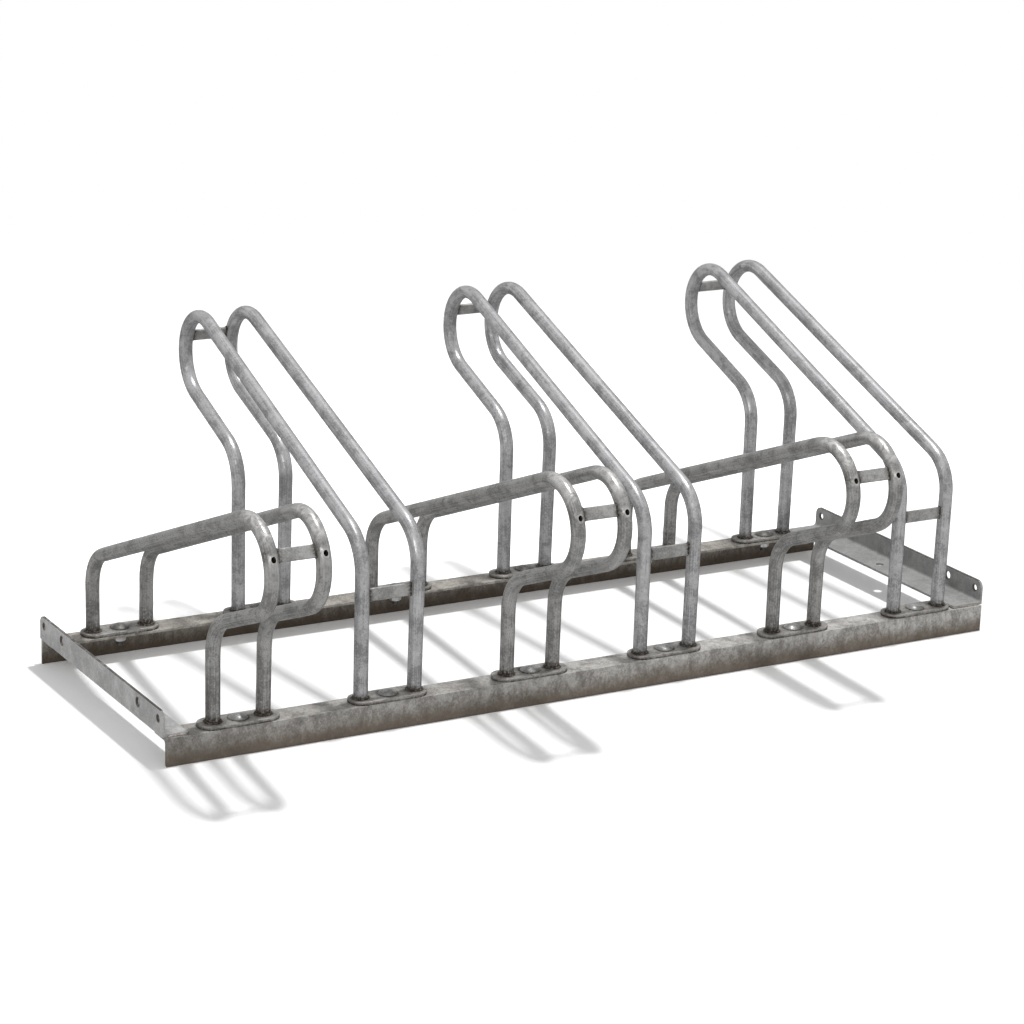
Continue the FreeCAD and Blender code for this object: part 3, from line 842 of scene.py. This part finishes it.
def weathered_zinc(name, base, spread=0.3, spangle=120.0, patch=24.0, grain=(1.0, 1.0, 1.0),
                   metal=0.35, gloss=(0.36, 0.52), streaks=0.0, relief=0.18):
    """Hot-dip zinc: crystals, clouds and speckle about a base colour, and dirt and painted shade on
    top.

    Returns the finish and its colour socket, so that stains can be laid over it.  The
    dirt and painted shade come from an attribute of the pieces, broken up by a noise,
    and stretched zinc with a painted highlight from their bright attribute, broken up
    by a coarser one.
    """
    f = Finish(name)
    at = f.scaled(grain)
    bent = f.warped(0.004, 90.0, at)
    small = f.crystals(spangle * 2.9, bent)
    clouds = f.noise(patch, 4.0, 0.6, 0.3, at)
    speckle = f.noise(340.0, 3.0, 0.65)
    tone = f.add(f.times(f.crystals(spangle, bent), 0.18), f.times(small, 0.16),
                 f.fade(clouds, 0.34, 0.66, 0.0, 0.36), f.fade(speckle, 0.30, 0.70, 0.0, 0.30))
    if streaks:
        drawn = f.noise(1.0, 3.0, 0.6, at=f.scaled((9.0, 520.0, 1.0), f.uv))
        tone = f.add(tone, f.fade(drawn, 0.35, 0.68, -streaks, streaks))
    colour = f.mix(f.fade(tone, 0.12, 0.88), shade(base, 1.0 - spread), shade(base, 1.0 + spread))
    crumple = f.noise(75.0, 4.0, 0.6, 1.4)
    # Stretched zinc is glossier, and its lighter colour is a painted highlight.
    stretched_zinc_and_highlight = f.times(f.attribute("bright"), f.fade(crumple, 0.40, 0.60, 0.10, 1.0))
    colour = f.mix(stretched_zinc_and_highlight, colour, shade(base, 1.8, 0.8))
    broken = f.fade(f.noise(240.0, 4.0, 0.7), 0.30, 0.62, 0.45, 1.2)
    # This mask is dirt and also painted shade; both take the dark dirt colour.
    dirt = f.fade(f.times(f.attribute("grime"), broken), 0.10, 0.90)
    colour = f.mix(dirt, colour, DIRT_AND_SHADE)
    polish = f.add(f.times(tone, 0.6), f.times(clouds, 0.4))
    rough = f.add(f.fade(polish, 0.25, 0.75, gloss[1], gloss[0]), f.times(dirt, 0.25))
    ripple = f.add(f.times(f.noise(240.0, 3.0, 0.6), 0.7), f.times(small, 0.1))
    f.bump(ripple, relief, 0.0004)
    f.set(Base_Color=colour, Roughness=f.maths("SUBTRACT", rough, f.times(stretched_zinc_and_highlight, 0.14)),
          Metallic=f.fade(dirt, 0.1, 0.8, metal, 0.03),
          Specular_IOR_Level=0.30, Specular_Tint=(0.15, 0.15, 0.15, 1.0))
    return f, colour


def tube_finish(name, base, metal):
    """Drawn and dipped tube: glossier than the flat pieces, with fine streaks along it."""
    return weathered_zinc(name, base, 0.36, spangle=130.0, patch=26.0, streaks=0.16, metal=metal,
                          gloss=(0.25, 0.52))[0].material


def rail_finish(name, base, stain, left_tone):
    """Hot-rolled angle: blotches all over it, brown stain that rises raggedly from the floor.

    Towards the rail's left end it gets duller, by left_tone.
    """
    f, colour = weathered_zinc(name, base, 0.36, spangle=150.0, patch=40.0, grain=(1.0, 1.0, 0.7),
                               metal=0.25, gloss=(0.46, 0.62), relief=0.22)
    soil = shade(stain, 0.55)
    ragged = f.noise(1.0, 5.0, 0.7, 0.4, f.scaled((105.0, 105.0, 58.0)))
    colour = f.mix(f.fade(ragged, 0.45, 0.72, 0.0, 0.40), colour, soil)
    blotch = f.noise(5.0, 2.0, 0.5)
    along = f.add(f.part(f.place, "X"), f.times(blotch, 0.9))
    colour = f.mix(f.fade(along, -0.35, 0.95, left_tone, 0.0), colour, soil)
    climb = f.add(f.times(ragged, 0.034), f.times(blotch, 0.024))
    level = f.maths("SUBTRACT", f.part(f.place, "Z"), climb)
    return f.set(Base_Color=f.mix(f.fade(level, -0.022, 0.012, 0.85, 0.0), colour, stain))


def bar_finish(name, base):
    """End bar: even dull zinc with faint drips, dark round its link holes and on its top edge."""
    f, colour = weathered_zinc(name, base, 0.22, spangle=110.0, patch=18.0, metal=0.25,
                               gloss=(0.42, 0.58), relief=0.15)
    drips = f.noise(1.0, 4.0, 0.6, at=f.scaled((120.0, 120.0, 60.0)))
    colour = f.mix(f.fade(drips, 0.42, 0.75, 0.0, 0.30), colour, shade(base, 0.6))
    height = f.part(f.place, "Z")
    across = f.maths("ABSOLUTE", f.maths("SUBTRACT", f.part(f.place, "Y"), LINK_MIDDLE))
    spot = f.node("ShaderNodeCombineXYZ", {"Y": across, "Z": height}).outputs[0]
    for out, radius in LINK_HOLES:
        away = f.vector("DISTANCE", {0: spot, 1: (0.0, out, LINK_HEIGHT)}, "Value")
        colour = f.mix(f.fade(away, radius + 0.0003, radius + 0.0022, 0.85, 0.0), colour, DARK_RIM)
    # A ragged darker line along the top edge.
    edge_breakup = f.fade(f.noise(60.0, 4.0, 0.7), 0.30, 0.55, 0.35, 0.9)
    edge = f.times(f.fade(height, BAR_TOP - 0.0011, BAR_TOP - 0.0004), edge_breakup)
    return f.set(Base_Color=f.mix(edge, colour, DARK_RIM))


def bright_zinc(name, base, gloss, metal):
    """Electroplated zinc of the bolts and nuts: fine grain, scuffs, and dirt and painted shade in
    the corners.
    """
    f = Finish(name)
    clouds = f.noise(160.0, 3.0, 0.6, 0.5)
    scuffs = f.noise(900.0, 2.0, 0.5)
    tone = f.add(f.times(clouds, 0.75), f.times(scuffs, 0.25))
    colour = f.mix(f.fade(tone, 0.3, 0.7), shade(base, 0.6), shade(base, 1.4))
    broken = f.fade(clouds, 0.25, 0.7, 0.5, 1.2)
    dirt = f.fade(f.times(f.attribute("grime"), broken), 0.1, 0.8)
    rough = f.add(f.fade(tone, 0.3, 0.7, gloss[1], gloss[0]), f.times(dirt, 0.3))
    f.bump(scuffs, 0.15, 0.0002)
    return f.set(Base_Color=f.mix(dirt, colour, BOLT_DIRT_AND_SHADE), Roughness=rough,
                 Metallic=f.fade(dirt, 0.1, 0.8, metal, 0.05))


bright_tube_zinc = tube_finish("high hoop tube zinc", (0.372, 0.371, 0.377), 0.48)
# The low hoops' tube zinc is warmer and darker than the high hoops'; part of its darkness is
# painted shade for the less lit low hoops.
low_tube_zinc_with_shade = tube_finish("low hoop tube zinc", (0.302, 0.299, 0.292), 0.45)
strip_zinc = weathered_zinc("crossbar zinc", (0.330, 0.327, 0.320), spangle=170.0)[0].material
plate_zinc = weathered_zinc("foot plate zinc", (0.285, 0.276, 0.262), 0.36, spangle=200.0,
                            patch=60.0, gloss=(0.40, 0.58))[0].material
weld_zinc = weathered_zinc("weld zinc", (0.27, 0.255, 0.235), 0.4, spangle=320.0,
                           patch=140.0)[0].material
front_rail_zinc = rail_finish("front rail zinc", (0.430, 0.420, 0.402),
                              (0.160, 0.131, 0.102), 0.32)
# The rear rail's finish is a darker copy of the front rail's, with a darker stain: painted shade
# under its top flange.
rear_rail_zinc = rail_finish("rear rail zinc", (0.335, 0.317, 0.288), (0.118, 0.090, 0.065), 0.0)
# The two end bars are one zinc: the left bar's lighter base and the right bar's darker one are
# painted light and shade.
left_bar_zinc = bar_finish("left end bar zinc", (0.455, 0.450, 0.447))
right_bar_zinc = bar_finish("right end bar zinc", (0.335, 0.333, 0.330))
front_bolt_zinc = bright_zinc("front bolt zinc", (0.24, 0.24, 0.235), (0.34, 0.50), 0.6)
rear_bolt_zinc = bright_zinc("rear bolt zinc", (0.10, 0.096, 0.09), (0.42, 0.58), 0.3)
nut_zinc = bright_zinc("nut zinc", (0.58, 0.58, 0.57), (0.28, 0.42), 0.7)

# ---- the rack ----------------------------------------------------------------------
for index, hoop_name in enumerate(HOOP_NAMES):
    hoop = Hoop(hoop_name)
    tube_zinc = low_tube_zinc_with_shade if hoop.kind == "low" else bright_tube_zinc
    for side, word in ((-1, "left"), (1, "right")):
        node = hoop_name + "_" + word + "_tube"
        skin = TubeSkin(hoop, side, 100 + 2 * index + (side > 0))
        skin.build().piece(node + "_drawn", tube_zinc, "tube_zinc", [node])
    for node, spot, tilt in hoop.strips():
        strip_surface(hoop, spot, tilt).piece(node + "_drawn", strip_zinc, "strip_zinc", [node])
    for along in (0.0, hoop.span):
        feet = [hoop.place(side, np.array([along, 0.0])) for side in (-1, 1)]
        word = "front" if feet[0][1] < 0.0 else "rear"
        node = hoop_name + "_" + word + "_foot_plate"
        foot_plate_surface(node, feet).piece(node + "_drawn", plate_zinc, "foot_plate_zinc", [node])
    hoop_welds(hoop, 1000 + 50 * index).piece(hoop_name + "_welds", weld_zinc, "tube_zinc")

for node, outward, finish in (("front_rail", -1.0, front_rail_zinc),
                              ("rear_rail", 1.0, rear_rail_zinc)):
    rail_surface(node, outward).piece(node + "_drawn", finish, "rail_zinc", [node])
for node, side, finish in (("left_end_bar", -1.0, left_bar_zinc),
                           ("right_end_bar", 1.0, right_bar_zinc)):
    worn_copy(node, finish)
    end_bar_welds(node, side, 3000).piece(node + "_welds", weld_zinc, "end_bar_zinc")

for row, finish in (("front", front_bolt_zinc), ("rear", rear_bolt_zinc)):
    bolts, nuts = Surface(), Surface()
    bolt_low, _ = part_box(row + "_carriage_bolts")
    nut_low, nut_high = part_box(row + "_nuts")
    for hoop_name in HOOP_NAMES:
        low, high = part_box(hoop_name + "_" + row + "_foot_plate")
        x, y = (low.x + high.x) / 2.0, (low.y + high.y) / 2.0
        add_bolt(bolts, x, y, high.z, bolt_low.z)
        add_nut(nuts, x, y, nut_low.z, nut_high.z)
    bolts.piece(row + "_bolts_drawn", finish, "bolt_zinc", [row + "_carriage_bolts"])
    nuts.piece(row + "_nuts_drawn", nut_zinc, "nut_zinc", [row + "_nuts"])


# ---- floor, light and camera -------------------------------------------------------
def make_floor():
    """Pale round floor whose edge melts into the white surroundings.

    To the camera it is a little lighter than the light that it throws back on the rack,
    and lighter still behind the rear rail.
    """
    points = turned((0.0, 0.0), np.array(FLOOR_RINGS)[:, None], whole_turn(FLOOR_SIDES), 0.0)
    mesh = bpy.data.meshes.new("floor")
    mesh.from_pydata(points.reshape(-1, 3).tolist(), [],
                     grid_quads(len(FLOOR_RINGS), FLOOR_SIDES, close_columns=True).tolist()
                     + [list(range(FLOOR_SIDES))])
    floor = bpy.data.objects.new("floor", mesh)
    bpy.context.scene.collection.objects.link(floor)
    f = Finish("pale floor")
    seen = f.node("ShaderNodeLightPath").outputs["Is Camera Ray"]
    lift = f.fade(f.part(f.place, "Y"), 0.27, 0.42, 0.11, 0.40)
    f.set(Base_Color=f.mix(seen, (0.78, 0.78, 0.78), (0.93, 0.93, 0.93)), Roughness=0.9,
          Specular_IOR_Level=0.1, Emission_Color=(1.0, 1.0, 1.0, 1.0),
          Emission_Strength=f.times(seen, lift))
    away = f.vector("LENGTH", {0: f.place}, "Value")
    clear = f.node("ShaderNodeBsdfTransparent").outputs[0]
    blend = f.node("ShaderNodeMixShader", {0: f.fade(away, 1.4, 3.2), 1: f.shader.outputs[0],
                                           2: clear})
    f.give(f.tree.nodes["Material Output"].inputs["Surface"], blend.outputs[0])
    mesh.materials.append(f.material)


def make_world(fill):
    """White to the camera and in reflections; a soft sky, brighter overhead, lights the rack."""
    world = bpy.data.worlds.new("studio")
    bpy.context.scene.world = world
    world.use_nodes = True
    w = Wiring(world.node_tree)
    rays = w.node("ShaderNodeLightPath").outputs
    white = w.maths("MAXIMUM", rays["Is Camera Ray"], rays["Is Glossy Ray"])
    white = w.maths("MAXIMUM", white, rays["Is Transmission Ray"])
    upward = w.part(w.node("ShaderNodeTexCoord").outputs["Generated"], "Z")
    sky = w.node("ShaderNodeMapRange", {"Value": upward, "To Min": 0.45 * fill,
                                        "To Max": 1.75 * fill}).outputs["Result"]
    level = w.node("ShaderNodeMapRange", {"Value": white, "To Min": sky}).outputs["Result"]
    background = w.tree.nodes["Background"]
    w.give(background.inputs["Color"], (1.0, 1.0, 1.0, 1.0))
    w.give(background.inputs["Strength"], level)


def make_lamp(name, place, target, size, power):
    """Square soft box at a place, turned to its target."""
    data = bpy.data.lights.new(name, "AREA")
    data.shape = "SQUARE"
    data.size = size
    data.energy = power
    lamp = bpy.data.objects.new(name, data)
    lamp.location = place
    lamp.rotation_euler = (Vector(target) - Vector(place)).to_track_quat("-Z", "Y").to_euler()
    bpy.context.scene.collection.objects.link(lamp)


def make_camera():
    """Long lens, low and to the left, found by fitting the rack's outlines."""
    data = bpy.data.cameras.new("camera")
    data.sensor_width = 36.0
    data.lens = 108.024
    data.clip_end = 100.0
    camera = bpy.data.objects.new("camera", data)
    pitch, azimuth, roll = math.radians(16.826), math.radians(30.366), math.radians(2.046)
    turn = (Matrix.Rotation(-azimuth, 4, "Z") @ Matrix.Rotation(math.pi / 2.0 - pitch, 4, "X")
            @ Matrix.Rotation(roll, 4, "Z"))
    camera.matrix_world = Matrix.Translation((-2.44499, -4.12357, 1.67776)) @ turn
    bpy.context.scene.collection.objects.link(camera)
    bpy.context.scene.camera = camera


make_floor()
make_world(0.34)
make_lamp("key", (0.95, 0.19, 6.0), (0.0, 0.0, 0.0), 0.4, 265.0)
make_lamp("front fill", (-3.4, -4.0, 2.8), (0.0, 0.0, 0.2), 2.2, 58.0)
make_camera()
bpy.context.scene.view_settings.view_transform = "Standard"
